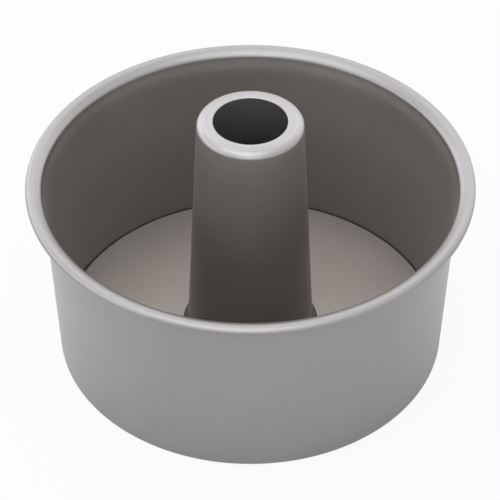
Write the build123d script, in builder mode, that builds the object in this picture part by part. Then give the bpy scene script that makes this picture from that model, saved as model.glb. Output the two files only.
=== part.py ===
from build123d import *
import os
from math import asin, cos, degrees, radians, sin

# Angel food cake pan of anodised sheet aluminium, in millimetres. +Z is up and the origin is the centre of
# the pan's foot on the surface that it stands on. Three turned pieces share the upright axis: the wall with
# its rolled rim and turned-in ledge, the loose base disc on that ledge, and the centre tube crimped to the disc.

# Wall
wall_sheet = 1.2
foot_diameter = 195.6
pan_height = 101.5
wall_taper = 2.25
flare_radius = 6.6
roll_radius = 2.8
roll_turn = 230
ledge_width = 8.8
hem_gap = 0.1

# Base disc
disc_sheet = 1.2
disc_gap = 0.4
disc_edge_round = 0.3

# Centre tube
tube_sheet = 1.2
tube_foot_diameter = 64.6
tube_height = 135.5
tube_taper = 2.8
shoulder_radius = 3.3
mouth_fold_width = 4.5
mouth_dome_radius = 12
mouth_edge_round = 0.25
crimp_width = 2.5
crimp_fillet = 0.8
flange_width = 3
neck_fit = 0.05

# Angles in degrees
quarter_turn = 90
half_turn = 180


def away(centre, radius, angle):
    """The point at a distance and an angle in degrees from a centre."""
    return (centre[0] + radius * cos(radians(angle)), centre[1] + radius * sin(radians(angle)))


# Wall places, as radius and height in the half section.
# The wall's outer face is a straight line that leans outwards from the foot circle on the ground.
foot_radius = foot_diameter / 2
ledge_height = 2 * wall_sheet
lean = radians(wall_taper)
foot_bend = (foot_radius - ledge_height * (1 - sin(lean)) / cos(lean), ledge_height)
flare_height = pan_height - flare_radius
crest_radius = foot_radius + (flare_radius - wall_sheet + flare_height * sin(lean)) / cos(lean)
flare_bend = (crest_radius, flare_height)
roll_centre = (crest_radius, pan_height - roll_radius)
roll_end = quarter_turn - roll_turn
hem_bend = (foot_radius - ledge_width + wall_sheet, wall_sheet)
hem_end = foot_bend[0] - hem_gap

# Disc places. It lies on the doubled ledge with its gap measured to the wall's inner face at that height.
disc_radius = foot_radius + ledge_height * sin(lean) / cos(lean) - wall_sheet / cos(lean) - disc_gap
floor_height = ledge_height + disc_sheet

# Tube places. Its outer face is a straight line that leans inwards from the foot circle at the floor.
slope = radians(tube_taper)
tube_foot_radius = tube_foot_diameter / 2
neck_inner_radius = tube_foot_radius - tube_sheet / cos(slope)
neck_radius = neck_inner_radius + tube_sheet
shoulder_height = tube_height - shoulder_radius
shoulder_drop = (shoulder_radius + (shoulder_height - floor_height) * sin(slope)) / cos(slope)
shoulder = (tube_foot_radius - shoulder_drop, shoulder_height)
dome = (shoulder[0], tube_height - mouth_dome_radius)
dome_under_radius = mouth_dome_radius - tube_sheet
crimp_height = floor_height + 2 * tube_sheet
crimp_fold = (tube_foot_radius + crimp_width - tube_sheet, floor_height + tube_sheet)
corner_height = crimp_height + crimp_fillet
corner_radius = tube_foot_radius + (crimp_fillet - (corner_height - floor_height) * sin(slope)) / cos(slope)
corner = (corner_radius, corner_height)
flange_height = ledge_height - tube_sheet
flange_radius = neck_radius + flange_width


def dome_turn(radius):
    """The angle in degrees from the top of the folded-in dome round to the mouth, at a radius of the dome."""
    return degrees(asin(mouth_fold_width / radius))


# Wall with rolled rim and hemmed ledge
with BuildPart() as pan_wall:
    with BuildSketch(Plane.XZ) as wall_section:
        with BuildLine():
            Line((hem_bend[0], 0), (foot_bend[0], 0))
            CenterArc(foot_bend, ledge_height, -quarter_turn, quarter_turn - wall_taper)
            Line(
                away(foot_bend, ledge_height, -wall_taper),
                away(flare_bend, flare_radius - wall_sheet, half_turn - wall_taper),
            )
            CenterArc(flare_bend, flare_radius - wall_sheet, half_turn - wall_taper, wall_taper - quarter_turn)
            CenterArc(roll_centre, roll_radius - wall_sheet, quarter_turn, -roll_turn)
            Line(
                away(roll_centre, roll_radius - wall_sheet, roll_end),
                away(roll_centre, roll_radius, roll_end),
            )
            CenterArc(roll_centre, roll_radius, roll_end, roll_turn)
            CenterArc(flare_bend, flare_radius, quarter_turn, quarter_turn - wall_taper)
            Line(
                away(flare_bend, flare_radius, half_turn - wall_taper),
                away(foot_bend, ledge_height - wall_sheet, -wall_taper),
            )
            CenterArc(foot_bend, ledge_height - wall_sheet, -wall_taper, wall_taper - quarter_turn)
            Polyline(
                (foot_bend[0], wall_sheet),
                (hem_end, wall_sheet),
                (hem_end, ledge_height),
                (hem_bend[0], ledge_height),
            )
            CenterArc(hem_bend, wall_sheet, quarter_turn, half_turn)
        make_face()
    revolve(axis=Axis.Z)

# Base disc, a plain round plate with a hole for the tube's neck
with BuildPart() as base_disc:
    with BuildSketch(Plane.XY.offset(ledge_height)):
        Circle(disc_radius)
        Circle(neck_radius + neck_fit, mode=Mode.SUBTRACT)
    extrude(amount=disc_sheet)
    disc_edges = base_disc.edges().filter_by(GeomType.CIRCLE).sort_by(SortBy.RADIUS)[-2:]
    fillet(disc_edges, disc_edge_round)

# Centre tube, folded in to the mouth at its top and crimped over and under the disc at its foot
with BuildPart() as center_tube:
    with BuildSketch(Plane.XZ) as tube_section:
        with BuildLine():
            dome_top = CenterArc(dome, mouth_dome_radius, quarter_turn, dome_turn(mouth_dome_radius))
            dome_under = CenterArc(dome, dome_under_radius, quarter_turn, dome_turn(dome_under_radius))
            Line(dome_top @ 1, dome_under @ 1)
            CenterArc(shoulder, shoulder_radius - tube_sheet, quarter_turn, tube_taper - quarter_turn)
            Polyline(
                away(shoulder, shoulder_radius - tube_sheet, tube_taper),
                (neck_inner_radius, floor_height),
                (neck_inner_radius, ledge_height),
            )
            CenterArc((neck_radius, ledge_height), tube_sheet, half_turn, quarter_turn)
            Polyline(
                (neck_radius, flange_height),
                (flange_radius, flange_height),
                (flange_radius, ledge_height),
                (neck_radius, ledge_height),
                (neck_radius, floor_height),
                (crimp_fold[0], floor_height),
            )
            CenterArc(crimp_fold, tube_sheet, -quarter_turn, half_turn)
            Line((crimp_fold[0], crimp_height), (corner[0], crimp_height))
            CenterArc(corner, crimp_fillet, -quarter_turn, tube_taper - quarter_turn)
            Line(
                away(corner, crimp_fillet, half_turn + tube_taper),
                away(shoulder, shoulder_radius, tube_taper),
            )
            CenterArc(shoulder, shoulder_radius, tube_taper, quarter_turn - tube_taper)
        make_face()
        fillet(tube_section.vertices().group_by(Axis.X)[0], mouth_edge_round)
    revolve(axis=Axis.Z)

pan_wall.part.label = "pan_wall"
base_disc.part.label = "base_disc"
center_tube.part.label = "center_tube"

os.makedirs("parts", exist_ok=True)
export_step(pan_wall.part, "parts/pan_wall.step")
export_step(base_disc.part, "parts/base_disc.step")
export_step(center_tube.part, "parts/center_tube.step")
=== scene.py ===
import math

import bpy
import numpy as np
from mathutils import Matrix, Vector


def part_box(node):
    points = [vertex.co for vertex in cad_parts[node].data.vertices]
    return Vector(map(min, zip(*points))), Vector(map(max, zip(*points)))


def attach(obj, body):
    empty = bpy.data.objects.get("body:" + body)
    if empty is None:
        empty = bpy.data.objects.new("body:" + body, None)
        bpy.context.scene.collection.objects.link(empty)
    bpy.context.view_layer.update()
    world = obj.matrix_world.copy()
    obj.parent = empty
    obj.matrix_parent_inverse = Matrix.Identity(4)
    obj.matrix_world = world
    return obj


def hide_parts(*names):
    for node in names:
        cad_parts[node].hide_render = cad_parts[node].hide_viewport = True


# Angel food cake pan of grey anodised aluminium, in metres, +Z up, standing on its foot at height 0. The
# frame gives the outer sizes of its three pieces. Each piece is drawn again here as the bent sheet that it
# is, from the midline of its section, and turned about the upright axis.

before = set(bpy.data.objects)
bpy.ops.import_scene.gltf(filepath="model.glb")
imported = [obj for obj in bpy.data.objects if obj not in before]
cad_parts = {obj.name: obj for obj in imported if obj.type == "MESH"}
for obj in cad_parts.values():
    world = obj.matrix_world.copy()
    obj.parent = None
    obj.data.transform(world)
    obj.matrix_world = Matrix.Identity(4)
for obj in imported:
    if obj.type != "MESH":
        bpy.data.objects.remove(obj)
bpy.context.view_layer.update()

mm = 0.001
quarter_turn = 90
half_turn = 180

# Sizes that the frame gives
wall_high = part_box("pan_wall")[1]
disc_low, disc_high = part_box("base_disc")
tube_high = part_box("center_tube")[1]
rim_radius = wall_high.x
pan_height = wall_high.z
disc_radius = disc_high.x
ledge_height = disc_low.z
floor_height = disc_high.z
flange_radius = tube_high.x
tube_height = tube_high.z

# Sheet. It is drawn a little thinner, so that leaves that lie on each other keep a hairline between them.
sheet = floor_height - ledge_height
fold_hairline = 0.04 * mm
leaf = sheet - fold_hairline / 2
cut_edge_round = 0.25 * mm

# Wall
wall_taper = 2.25
collar_foot_radius = 30 * mm
collar_lean = 12
collar_bend_radius = 3 * mm
flare_radius = 7.1 * mm
flare_turn = 44
roll_radius = 2.3 * mm
roll_turn = 230
ledge_width = 8.8 * mm
hem_gap = 0.1 * mm

# Disc
disc_gap = 0.4 * mm
neck_clearance = 0.05 * mm

# Centre tube
tube_taper = 2.8
shoulder_radius = 3.3 * mm
crown_radius = 25 * mm
mouth_fold_width = 5.1 * mm
lip_radius = 1.2 * mm
lip_turn = 35
crimp_width = 2.5 * mm
crimp_fillet = 0.8 * mm
flange_width = 3 * mm
neck_bend_radius = 0.3 * mm

# Fineness of the meshes
bend_step = 6
run_step = 8 * mm
corner_points = 5
least_step = 0.0001 * mm
sides_of_wall = 384
sides_of_tube = 256


def direction(angle):
    """The direction at an angle in degrees, as a step in radius and one in height."""
    return np.array([math.cos(math.radians(angle)), math.sin(math.radians(angle))])


def arc(centre, radius, start, turn):
    """A bend of a sheet's midline: centre + radius * (cos a, sin a) while a goes from start through turn, in
    degrees. Each row holds the point's radius and height, then the sheet's left-hand normal."""
    steps = max(2, math.ceil(abs(turn) / bend_step))
    angle = np.radians(start + turn * np.linspace(0, 1, steps + 1))
    outward = np.column_stack((np.cos(angle), np.sin(angle)))
    return np.hstack((np.array(centre) + radius * outward, -np.sign(turn) * outward))


def spot(radius, height, normal_angle):
    """One point of a midline, with the sheet's left-hand normal at an angle in degrees."""
    return np.array([[radius, height, *direction(normal_angle)]])


def midline(*bends):
    """Joins bends into one line. The straight run from one bend's end to the next one's start is
    end + s * (start - end), with s in equal steps from 0 to 1."""
    rows = [bends[0]]
    for bend in bends[1:]:
        end, start = rows[-1][-1], bend[0]
        steps = max(1, math.ceil(np.hypot(*(start - end)[:2]) / run_step))
        share = np.linspace(0, 1, steps + 1)[1:-1, None]
        rows.append(end + share * (start - end))
        rows.append(bend)
    return np.vstack(rows)


def rounded_end(row, forward):
    """Half of a cut edge's outline seen from its corner: a quarter circle of cut_edge_round about the point
    that lies as far inside the sheet's face, turned from the face's normal to the forward direction."""
    point, normal = row[:2], row[2:]
    angle = np.linspace(0, math.pi / 2, corner_points)[:, None]
    outward = np.cos(angle) * normal + np.sin(angle) * forward
    return np.hstack((point + (leaf / 2 - cut_edge_round) * normal + cut_edge_round * outward, outward))


def sheet_outline(line):
    """Closed outline of a bent sheet, counterclockwise: midline - leaf / 2 * normal on the way out, round
    the cut edge, midline + leaf / 2 * normal on the way back, and round the other cut edge."""
    first, last = line[0], line[-1]
    ahead = np.array([last[3], -last[2]])
    behind = -np.array([first[3], -first[2]])
    flip = np.array([1, 1, -1, -1])
    right = line * flip
    left = line[::-1]

    def face(rows):
        return np.hstack((rows[:, :2] + leaf / 2 * rows[:, 2:], rows[:, 2:]))

    far_end = np.vstack((rounded_end(last * flip, ahead), rounded_end(last, ahead)[::-1]))
    near_end = np.vstack((rounded_end(first, behind), rounded_end(first * flip, behind)[::-1]))
    outline = np.vstack((face(right)[:-1], far_end, face(left)[1:-1], near_end))
    step = np.hypot(*(outline - np.roll(outline, 1, axis=0))[:, :2].T)
    return outline[step > least_step]


def turned(name, outline, sides):
    """Surface of revolution: a point of the outline at radius r and height z becomes (r cos u, r sin u, z),
    with u in equal steps round the full turn. The UV map holds u and the length along the outline, each as a
    share of the whole."""
    count = len(outline)
    turn = 2 * math.pi * np.arange(sides) / sides
    around = np.stack((np.cos(turn), np.sin(turn)), axis=1)
    radius, height, out, up = (outline[:, k, None] for k in range(4))
    level = np.ones(sides)
    points = np.stack((radius * around[:, 0], radius * around[:, 1], height * level), axis=2)
    normals = np.stack((out * around[:, 0], out * around[:, 1], up * level), axis=2)

    row, column = np.meshgrid(np.arange(count), np.arange(sides), indexing="ij")
    next_row, next_column = (row + 1) % count, (column + 1) % sides
    corners = ((row, column), (row, next_column), (next_row, next_column), (next_row, column))
    faces = np.stack([i * sides + j for i, j in corners], axis=2).reshape(-1, 4)

    mesh = bpy.data.meshes.new(name)
    mesh.from_pydata(points.reshape(-1, 3), [], faces)
    mesh.polygons.foreach_set("use_smooth", np.ones(len(faces), bool))
    mesh.normals_split_custom_set_from_vertices(normals.reshape(-1, 3))

    step = np.hypot(*(np.roll(outline, -1, axis=0) - outline)[:, :2].T)
    length = np.concatenate(([0], np.cumsum(step))) / step.sum()
    ends = ((row, column), (row, column + 1), (row + 1, column + 1), (row + 1, column))
    places = np.stack([np.stack((j / sides, length[i]), axis=2) for i, j in ends], axis=2)
    mesh.uv_layers.new(name="around_and_along").uv.foreach_set("vector", places.astype(np.float32).ravel())

    piece = bpy.data.objects.new(name, mesh)
    bpy.context.scene.collection.objects.link(piece)
    return piece


# Wall


def wall_outline():
    """Section of the wall. Its sheet starts in the folded-back leaf of the ledge, turns round the fold and
    the foot, leans outwards up the wall, leans out further in a short collar, and ends in the flare and the
    roll of the rim. The bend at the collar's foot touches the inner faces of wall and collar: its centre is
    the point whose distance to each face is the bend's radius."""
    half = leaf / 2
    lean = math.radians(wall_taper)
    foot_radius = disc_radius + disc_gap + sheet / math.cos(lean) - ledge_height * math.tan(lean)
    foot_bend_radius = foot_radius - ledge_height * (1 - math.sin(lean)) / math.cos(lean)
    fold_radius = foot_radius - ledge_width + sheet
    crest_radius = rim_radius - roll_radius
    flare_centre = np.array([crest_radius, pan_height - flare_radius])
    collar_top = flare_centre + (flare_radius - collar_bend_radius) * direction(quarter_turn + flare_turn)
    inward = np.array([direction(half_turn - wall_taper), direction(half_turn - collar_lean)])
    wall_face = sheet - foot_radius * math.cos(lean)
    collar_face = inward[1] @ collar_top + collar_bend_radius
    collar_foot = np.linalg.solve(inward, np.array([wall_face, collar_face]) - collar_foot_radius)
    return sheet_outline(midline(
        spot(foot_bend_radius - hem_gap - cut_edge_round, ledge_height - half, -quarter_turn),
        arc((fold_radius, sheet), sheet - half, quarter_turn, half_turn),
        arc((foot_bend_radius, ledge_height), ledge_height - half, -quarter_turn, quarter_turn - wall_taper),
        arc(collar_foot, collar_foot_radius - half, half_turn - wall_taper, wall_taper - collar_lean),
        arc(collar_top, collar_bend_radius - half, half_turn - collar_lean,
            collar_lean + flare_turn - quarter_turn),
        arc(flare_centre, flare_radius - half, quarter_turn + flare_turn, -flare_turn),
        arc((crest_radius, pan_height - roll_radius), roll_radius - half, quarter_turn, -roll_turn),
    ))


# Base disc


def disc_outline():
    """Section of the disc: a flat sheet from its hole, which clears the neck of the tube, out to its rim."""
    neck_radius = flange_radius - flange_width
    middle = (ledge_height + floor_height) / 2
    return sheet_outline(midline(
        spot(neck_radius + neck_clearance + cut_edge_round, middle, quarter_turn),
        spot(disc_radius - cut_edge_round, middle, quarter_turn),
    ))


# Centre tube


def tube_outline():
    """Section of the tube. Its sheet starts at the turned-down lip of the mouth, crosses the crown, bends
    down over the shoulder, leans outwards down the tube, folds out and back on the disc as a crimp, passes
    through the disc's hole and ends in the flange under the disc."""
    half = leaf / 2
    slope = math.radians(tube_taper)
    neck_radius = flange_radius - flange_width
    foot_radius = neck_radius - sheet + sheet / math.cos(slope)
    crown_turn = math.degrees(math.asin((mouth_fold_width - lip_radius) / (crown_radius - shoulder_radius)))
    crown_drop = crown_radius - (crown_radius - shoulder_radius) * math.cos(math.radians(crown_turn))
    shoulder_height = tube_height - crown_drop
    lean_in = (shoulder_radius + (shoulder_height - floor_height) * math.sin(slope)) / math.cos(slope)
    shoulder = (foot_radius - lean_in, shoulder_height)
    lip_centre = shoulder[0] - mouth_fold_width + lip_radius
    corner_height = floor_height + 2 * sheet + crimp_fillet
    corner_in = (crimp_fillet - (corner_height - floor_height) * math.sin(slope)) / math.cos(slope)
    corner = (foot_radius + corner_in, corner_height)
    fold = (foot_radius + crimp_width - sheet, floor_height + sheet)
    neck_bend = neck_radius + neck_bend_radius
    return sheet_outline(midline(
        arc((lip_centre, tube_height - lip_radius), lip_radius - half, quarter_turn + lip_turn, -lip_turn),
        arc((lip_centre, tube_height - crown_radius), crown_radius - half, quarter_turn, -crown_turn),
        arc(shoulder, shoulder_radius - half, quarter_turn - crown_turn,
            crown_turn + tube_taper - quarter_turn),
        arc(corner, crimp_fillet + half, half_turn + tube_taper, quarter_turn - tube_taper),
        arc(fold, sheet - half, quarter_turn, -half_turn),
        arc((neck_bend, floor_height - neck_bend_radius), neck_bend_radius + half,
            quarter_turn, quarter_turn),
        arc((neck_bend, ledge_height + neck_bend_radius), neck_bend_radius + half,
            half_turn, quarter_turn),
        spot(flange_radius - cut_edge_round, ledge_height - half, quarter_turn),
    ))


# Finishes


def node(tree, kind, inputs=None, **settings):
    """Adds a node. An input is given by its name or number, and is a value or an earlier node's socket."""
    made = tree.nodes.new(kind)
    for name, value in settings.items():
        setattr(made, name, value)
    for key, value in (inputs or {}).items():
        if isinstance(value, bpy.types.NodeSocket):
            tree.links.new(value, made.inputs[key])
        else:
            made.inputs[key].default_value = value
    return made


def maths(tree, operation, *values):
    """The output of a Math node."""
    return node(tree, "ShaderNodeMath", dict(enumerate(values)), operation=operation).outputs[0]


def stretch(tree, value, low, high, to_low, to_high):
    """The output of a Map Range node."""
    inputs = {"Value": value, "From Min": low, "From Max": high, "To Min": to_low, "To Max": to_high}
    return node(tree, "ShaderNodeMapRange", inputs).outputs["Result"]


def noise(tree, place, scale, detail, roughness):
    """A noise from 0 to 1 that averages 0.5."""
    inputs = {"Vector": place, "Scale": scale, "Detail": detail, "Roughness": roughness}
    return node(tree, "ShaderNodeTexNoise", inputs).outputs["Fac"]


def swing(tree, value, middle, change):
    """Stretches a noise so that its usual values lie between middle - change and middle + change."""
    return stretch(tree, value, usual_low, usual_high, middle - change, middle + change)


def scaled_within(tree, tone, mask, share):
    """tone * (1 + mask * (share - 1)): the tone is scaled by the share where the mask is 1."""
    excess = maths(tree, "MULTIPLY", mask, maths(tree, "SUBTRACT", share, 1))
    return maths(tree, "MULTIPLY", tone, maths(tree, "ADD", 1, excess))


# Metal and film
metal_colour = (0.312, 0.302, 0.3)
edge_tint = (0.97, 0.93, 1.0, 1.0)
metal_roughness = 0.6
burnished_roughness = 0.42
roughness_change = 0.02
film_roughness = 0.35
film_ior = 1.6
film_change = 0.025

# Noises of etch, film, turning marks, drawing marks and specks: scale, detail and roughness
etch_noise = (2600, 2, 0.5)
film_noise = (22, 3, 0.5)
ring_noise = (650, 3, 0.6)
drawn_noise = (420, 4, 0.65)
speck_noise = (520, 1, 0.5)
noise_middle = 0.5
usual_low = 0.3
usual_high = 0.7

# Marks
ring_depth = 0.2
burnished_ring_depth = 0.5
drawn_change = 0.03
drawn_across = 0.1
drawn_along = 0.06
speck_low = 0.71
speck_high = 0.76
speck_depth = 0.15
etch_relief = 0.35
drawn_relief = 0.6
relief_strength = 0.25
relief_height = 0.02 * mm

# Painted reflection inside the pan, a warm tint for light bounced between its faces, and painted shade and
# light in the tube
painted_bounce_tint = (0.012, -0.004, -0.028)
inner_radius = disc_radius + sheet / 2
inner_blend = 0.1 * mm
collar_depth = 9.8 * mm
collar_height = pan_height - collar_depth
collar_slope = math.tan(math.radians(collar_lean)) - math.tan(math.radians(wall_taper))
collar_offset = collar_slope * collar_depth
bore_radius = flange_radius - flange_width - sheet / 2
bore_blend = 0.2 * mm
# Painted shade low in the tube's bore and painted light near its mouth
bore_painted_tones = (0.6, 1.85)
bore_dark_height = 85 * mm
bore_light_height = 110 * mm

# Reach of the finishes, and of the painted shade inside the pan and on the tube
burnish_blend = 2 * mm
rim_burnish_width = 4 * mm
mouth_burnish_width = 5 * mm
wall_painted_shade_top = 65 * mm
tube_painted_shade_top = 55 * mm


def inner_masks(tree, radius, height, unburnished):
    """Masks of the inside of the pan and of the inside of the tube, where the metal isn't burnished. The
    first is 1 where radius - height * tan(wall_taper), less what the collar leans out further, is under a
    radius within the wall's sheet, but not inside the tube. The second is 1 where
    radius + height * tan(tube_taper) is under the radius of the middle of the tube's sheet."""
    wall_lean = maths(tree, "MULTIPLY", height, math.tan(math.radians(wall_taper)))
    upright_radius = maths(tree, "SUBTRACT", radius, wall_lean)
    collar_out = stretch(tree, height, collar_height, pan_height, 0, collar_offset)
    upright_radius = maths(tree, "SUBTRACT", upright_radius, collar_out)
    within_wall = stretch(tree, upright_radius, inner_radius, inner_radius + inner_blend, 1, 0)
    tube_lean = maths(tree, "MULTIPLY", height, math.tan(math.radians(tube_taper)))
    tube_radius = maths(tree, "ADD", radius, tube_lean)
    within_tube = stretch(tree, tube_radius, bore_radius, bore_radius + bore_blend, 1, 0)
    bore = maths(tree, "MULTIPLY", unburnished, within_tube)
    inside = maths(tree, "SUBTRACT", maths(tree, "MULTIPLY", unburnished, within_wall), bore)
    return inside, bore


def anodised(name, painted_piece_tone, turning, draw_marks=0.0, burnished_above=2 * pan_height, burnished_painted_tone=1.0,
             painted_inner_shades=(1.0, 1.0), painted_shade_top=pan_height):
    """Satin anodised aluminium: etched metal under a clear oxide film that varies slightly.
    painted_piece_tone scales the metal's colour over the whole piece, as painted light where it is above 1
    and painted shade where it is below. turning and draw_marks the marks from turning and drawing. Above
    burnished_above, by default nowhere, the metal is burnished, with clearer marks and a few specks, and its
    colour is scaled by burnished_painted_tone, painted light where it is above 1 and painted shade where it
    is below. Inside the pan the colour gets a warm tint, a painted reflection of light bounced between its
    faces, and is scaled by painted_inner_shades, the first at the floor and the second from
    painted_shade_top up: painted shade towards the floor. The inside of the tube has no warm tint, and its
    colour is scaled by bore_painted_tones, the first up to bore_dark_height and the second from
    bore_light_height up: painted shade low in the bore and painted light near the mouth."""
    material = bpy.data.materials.new(name)
    material.use_nodes = True
    tree = material.node_tree
    tree.nodes.clear()
    place = node(tree, "ShaderNodeTexCoord").outputs["Object"]
    flat = node(tree, "ShaderNodeVectorMath", {0: place, 1: (1, 1, 0)},
                operation="MULTIPLY").outputs["Vector"]
    radius = node(tree, "ShaderNodeVectorMath", {0: flat}, operation="LENGTH").outputs["Value"]
    heading = node(tree, "ShaderNodeVectorMath", {0: flat}, operation="NORMALIZE").outputs["Vector"]
    height = node(tree, "ShaderNodeSeparateXYZ", {0: place}).outputs["Z"]

    etch = noise(tree, place, *etch_noise)
    film = noise(tree, place, *film_noise)
    ring_place = node(tree, "ShaderNodeCombineXYZ", {"X": radius, "Z": height}).outputs["Vector"]
    ring_marks = noise(tree, ring_place, *ring_noise)
    slow = maths(tree, "MULTIPLY", height, drawn_along)
    up = node(tree, "ShaderNodeCombineXYZ", {"Z": slow}).outputs["Vector"]
    across = (drawn_across, drawn_across, drawn_across)
    drawn_place = node(tree, "ShaderNodeVectorMath", {0: heading, 1: across, 2: up},
                       operation="MULTIPLY_ADD").outputs["Vector"]
    drawn = noise(tree, drawn_place, *drawn_noise)
    burnish = stretch(tree, height, burnished_above - burnish_blend, burnished_above + burnish_blend, 0, 1)
    speck = stretch(tree, noise(tree, place, *speck_noise), speck_low, speck_high, 0, speck_depth)

    mark_depth = stretch(tree, burnish, 0, 1, ring_depth * turning, burnished_ring_depth)
    marks = maths(tree, "MULTIPLY", maths(tree, "SUBTRACT", ring_marks, noise_middle), mark_depth)
    tone = swing(tree, film, 1, film_change)
    tone = maths(tree, "ADD", tone, swing(tree, drawn, 0, drawn_change * draw_marks))
    tone = maths(tree, "ADD", tone, marks)
    tone = maths(tree, "SUBTRACT", tone, maths(tree, "MULTIPLY", burnish, speck))
    # Painted light and shade: the piece's tone and the burnished top's tone scale the colour
    painted_base_tone = stretch(tree, burnish, 0, 1, painted_piece_tone, painted_piece_tone * burnished_painted_tone)
    tone = maths(tree, "MULTIPLY", tone, painted_base_tone)
    inside, bore = inner_masks(tree, radius, height, maths(tree, "SUBTRACT", 1, burnish))
    # Painted shade inside the pan and on the outside of the tube, darker towards the floor
    painted_inner_shade = stretch(tree, height, floor_height, painted_shade_top, *painted_inner_shades)
    # Painted shade low in the tube's bore and painted light near its mouth
    bore_painted_tone = stretch(tree, height, bore_dark_height, bore_light_height, *bore_painted_tones)
    tone = scaled_within(tree, tone, inside, painted_inner_shade)
    tone = scaled_within(tree, tone, bore, bore_painted_tone)
    # Painted reflection: a warm tint inside the pan for light bounced between its faces
    hue = node(tree, "ShaderNodeVectorMath", {0: inside, 1: painted_bounce_tint, 2: metal_colour},
               operation="MULTIPLY_ADD").outputs["Vector"]
    colour = node(tree, "ShaderNodeVectorMath", {0: hue, "Scale": tone}, operation="SCALE").outputs["Vector"]

    rough = stretch(tree, burnish, 0, 1, metal_roughness, burnished_roughness)
    for change in (film, etch):
        rough = maths(tree, "ADD", rough, swing(tree, change, 0, roughness_change))
    relief = maths(tree, "MULTIPLY", etch, etch_relief)
    relief = maths(tree, "ADD", relief, maths(tree, "MULTIPLY", ring_marks, turning))
    relief = maths(tree, "ADD", relief, maths(tree, "MULTIPLY", drawn, drawn_relief * draw_marks))
    bump = node(tree, "ShaderNodeBump", {
        "Strength": relief_strength, "Distance": relief_height, "Height": relief,
    })
    metal = node(tree, "ShaderNodeBsdfPrincipled", {
        "Base Color": colour, "Roughness": rough, "Normal": bump.outputs["Normal"],
        "Metallic": 1.0, "Specular Tint": edge_tint,
        "Coat Weight": 1.0, "Coat Roughness": film_roughness, "Coat IOR": film_ior,
    })
    node(tree, "ShaderNodeOutputMaterial", {"Surface": metal.outputs["BSDF"]})
    return material


# Pieces
pan_wall = turned("wall_with_rolled_rim", wall_outline(), sides_of_wall)
# Painted shade darkens the inside of the wall towards the floor, and painted light lightens it a little
# higher up; the burnished rim is painted a little darker
pan_wall.data.materials.append(anodised(
    "wall_anodised", painted_piece_tone=1.0, turning=0.4, draw_marks=0.5,
    burnished_above=pan_height - rim_burnish_width, burnished_painted_tone=0.95,
    painted_inner_shades=(0.53, 1.06), painted_shade_top=wall_painted_shade_top))
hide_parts("pan_wall")
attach(pan_wall, "wall")

base_disc = turned("loose_base_disc", disc_outline(), sides_of_wall)
# Painted light: the disc's colour is scaled up, so that the floor of the pan looks lit
base_disc.data.materials.append(anodised("disc_anodised", painted_piece_tone=1.47, turning=0.5))
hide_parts("base_disc")
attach(base_disc, "insert")

center_tube = turned("tube_with_crimped_foot", tube_outline(), sides_of_tube)
# Painted shade: the tube's colour is scaled down, and darker still towards its foot; its burnished mouth is
# painted lighter, a painted highlight
center_tube.data.materials.append(anodised(
    "tube_anodised", painted_piece_tone=0.81, turning=1.0, draw_marks=0.5,
    burnished_above=tube_height - mouth_burnish_width, burnished_painted_tone=1.43,
    painted_inner_shades=(0.27, 1.0), painted_shade_top=tube_painted_shade_top))
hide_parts("center_tube")
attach(center_tube, "insert")

# Floor and background
floor_reach = 6.0
floor_drop = 0.02 * mm
floor_tone = 0.8
background_share = 0.9
hidden_radius = 0.9 * disc_radius
shade_reach = 0.15
shade_share = 0.5
white_reach = 0.6
daylight = 0.5


def background_rays(tree):
    """1 for the rays that show the background: those of the camera, of gloss and of transmission."""
    rays = node(tree, "ShaderNodeLightPath").outputs
    seen = maths(tree, "MAXIMUM", rays["Is Camera Ray"], rays["Is Glossy Ray"])
    return maths(tree, "MAXIMUM", seen, rays["Is Transmission Ray"])


def pale_floor():
    """Flat square floor just under the foot. To the camera it is nearly white outside the pan's foot. In
    gloss it whitens from disc_radius on, by shade_share of the whole at shade_reach and by the whole at
    white_reach, so that near the pan it keeps its own shade and the pan's shadow."""
    side = floor_reach * np.array([[-1, -1, 0], [1, -1, 0], [1, 1, 0], [-1, 1, 0]])
    mesh = bpy.data.meshes.new("floor")
    mesh.from_pydata(side - np.array([0, 0, floor_drop]), [], [(0, 1, 2, 3)])
    floor = bpy.data.objects.new("floor", mesh)
    bpy.context.scene.collection.objects.link(floor)
    material = bpy.data.materials.new("pale_floor")
    material.use_nodes = True
    tree = material.node_tree
    tree.nodes.clear()
    place = node(tree, "ShaderNodeTexCoord").outputs["Object"]
    radius = node(tree, "ShaderNodeVectorMath", {0: place}, operation="LENGTH").outputs["Value"]
    outside = stretch(tree, radius, hidden_radius, disc_radius, 0, 1)
    near = stretch(tree, radius, disc_radius, shade_reach, 0, shade_share)
    far = stretch(tree, radius, shade_reach, white_reach, 0, 1 - shade_share)
    camera_rays = node(tree, "ShaderNodeLightPath").outputs["Is Camera Ray"]
    seen = maths(tree, "MULTIPLY", background_rays(tree), maths(tree, "ADD", near, far))
    seen = maths(tree, "MAXIMUM", seen, maths(tree, "MULTIPLY", camera_rays, outside))
    share = maths(tree, "MULTIPLY", seen, background_share)
    matt = node(tree, "ShaderNodeBsdfDiffuse", {"Color": (floor_tone, floor_tone, floor_tone, 1)})
    white = node(tree, "ShaderNodeEmission", {"Color": (1, 1, 1, 1), "Strength": 1.0})
    mixed = node(tree, "ShaderNodeMixShader", {0: share, 1: matt.outputs[0], 2: white.outputs[0]})
    node(tree, "ShaderNodeOutputMaterial", {"Surface": mixed.outputs[0]})
    mesh.materials.append(material)


def white_world():
    """White wherever the background shows, and a plain dimmer daylight for all other rays."""
    world = bpy.data.worlds.new("studio")
    bpy.context.scene.world = world
    world.use_nodes = True
    tree = world.node_tree
    tree.nodes.clear()
    strength = stretch(tree, background_rays(tree), 0, 1, daylight, 1.0)
    light = node(tree, "ShaderNodeBackground", {"Color": (1, 1, 1, 1), "Strength": strength})
    node(tree, "ShaderNodeOutputWorld", {"Surface": light.outputs[0]})


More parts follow.
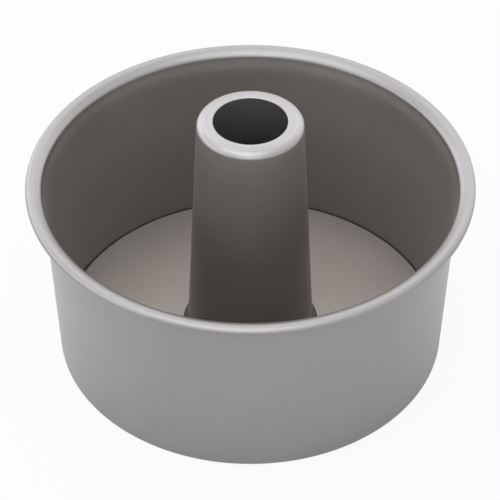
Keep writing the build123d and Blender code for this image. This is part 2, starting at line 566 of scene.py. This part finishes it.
# Lamps: name, azimuth, elevation, width, height and radiance
lamp_colour = (0.97, 0.975, 1.03)
lamp_distance = 1.5
softboxes = (
    ("overhead", 228, 77, 1.6, 1.5, 1.23),
    ("above_front", 180, 52, 1.3, 0.5, 0.86),
    ("back", 0, 42, 1.8, 0.5, 1.22),
    ("back_left", 315, 20, 1.2, 0.65, 1.33),
    ("back_right", 45, 20, 1.2, 0.65, 0.74),
    ("left", 258, 18, 1.8, 0.6, 1.15),
    ("right", 85, 42, 1.3, 0.5, 0.3),
    ("front", 180, 22, 1.15, 0.5, 1.55),
)


def softbox(name, azimuth, elevation, width, height, radiance):
    """Rectangular lamp that faces the pan. Azimuth, in degrees, is 0 behind the pan and 90 to its right. A
    lamp of radiance 1 is as bright as white: its power is radiance * pi * width * height."""
    turn, rise = math.radians(azimuth), math.radians(elevation)
    away = Vector((math.sin(turn) * math.cos(rise), math.cos(turn) * math.cos(rise), math.sin(rise)))
    lamp = bpy.data.lights.new(name, "AREA")
    lamp.shape = "RECTANGLE"
    lamp.size, lamp.size_y = width, height
    lamp.energy = radiance * math.pi * width * height
    lamp.color = lamp_colour
    box = bpy.data.objects.new(name, lamp)
    box.location = away * lamp_distance + Vector((0, 0, pan_height / 2))
    box.rotation_mode = "QUATERNION"
    box.rotation_quaternion = away.to_track_quat("Z", "Y")
    box.visible_camera = False
    bpy.context.scene.collection.objects.link(box)


pale_floor()
white_world()
for values in softboxes:
    softbox(*values)

# Camera
camera_tilt = 41.36
camera_distance = 1.0786
look_height = 53.25 * mm
look_side = -0.2 * mm
lens = 154.58

camera = bpy.data.objects.new("camera", bpy.data.cameras.new("camera"))
bpy.context.scene.collection.objects.link(camera)
bpy.context.scene.camera = camera
camera.data.lens = lens
tilt = math.radians(camera_tilt)
camera_rise = camera_distance * math.sin(tilt)
camera.location = (look_side, -camera_distance * math.cos(tilt), look_height + camera_rise)
camera.rotation_euler = (math.pi / 2 - tilt, 0, 0)

bpy.context.scene.view_settings.view_transform = "Standard"
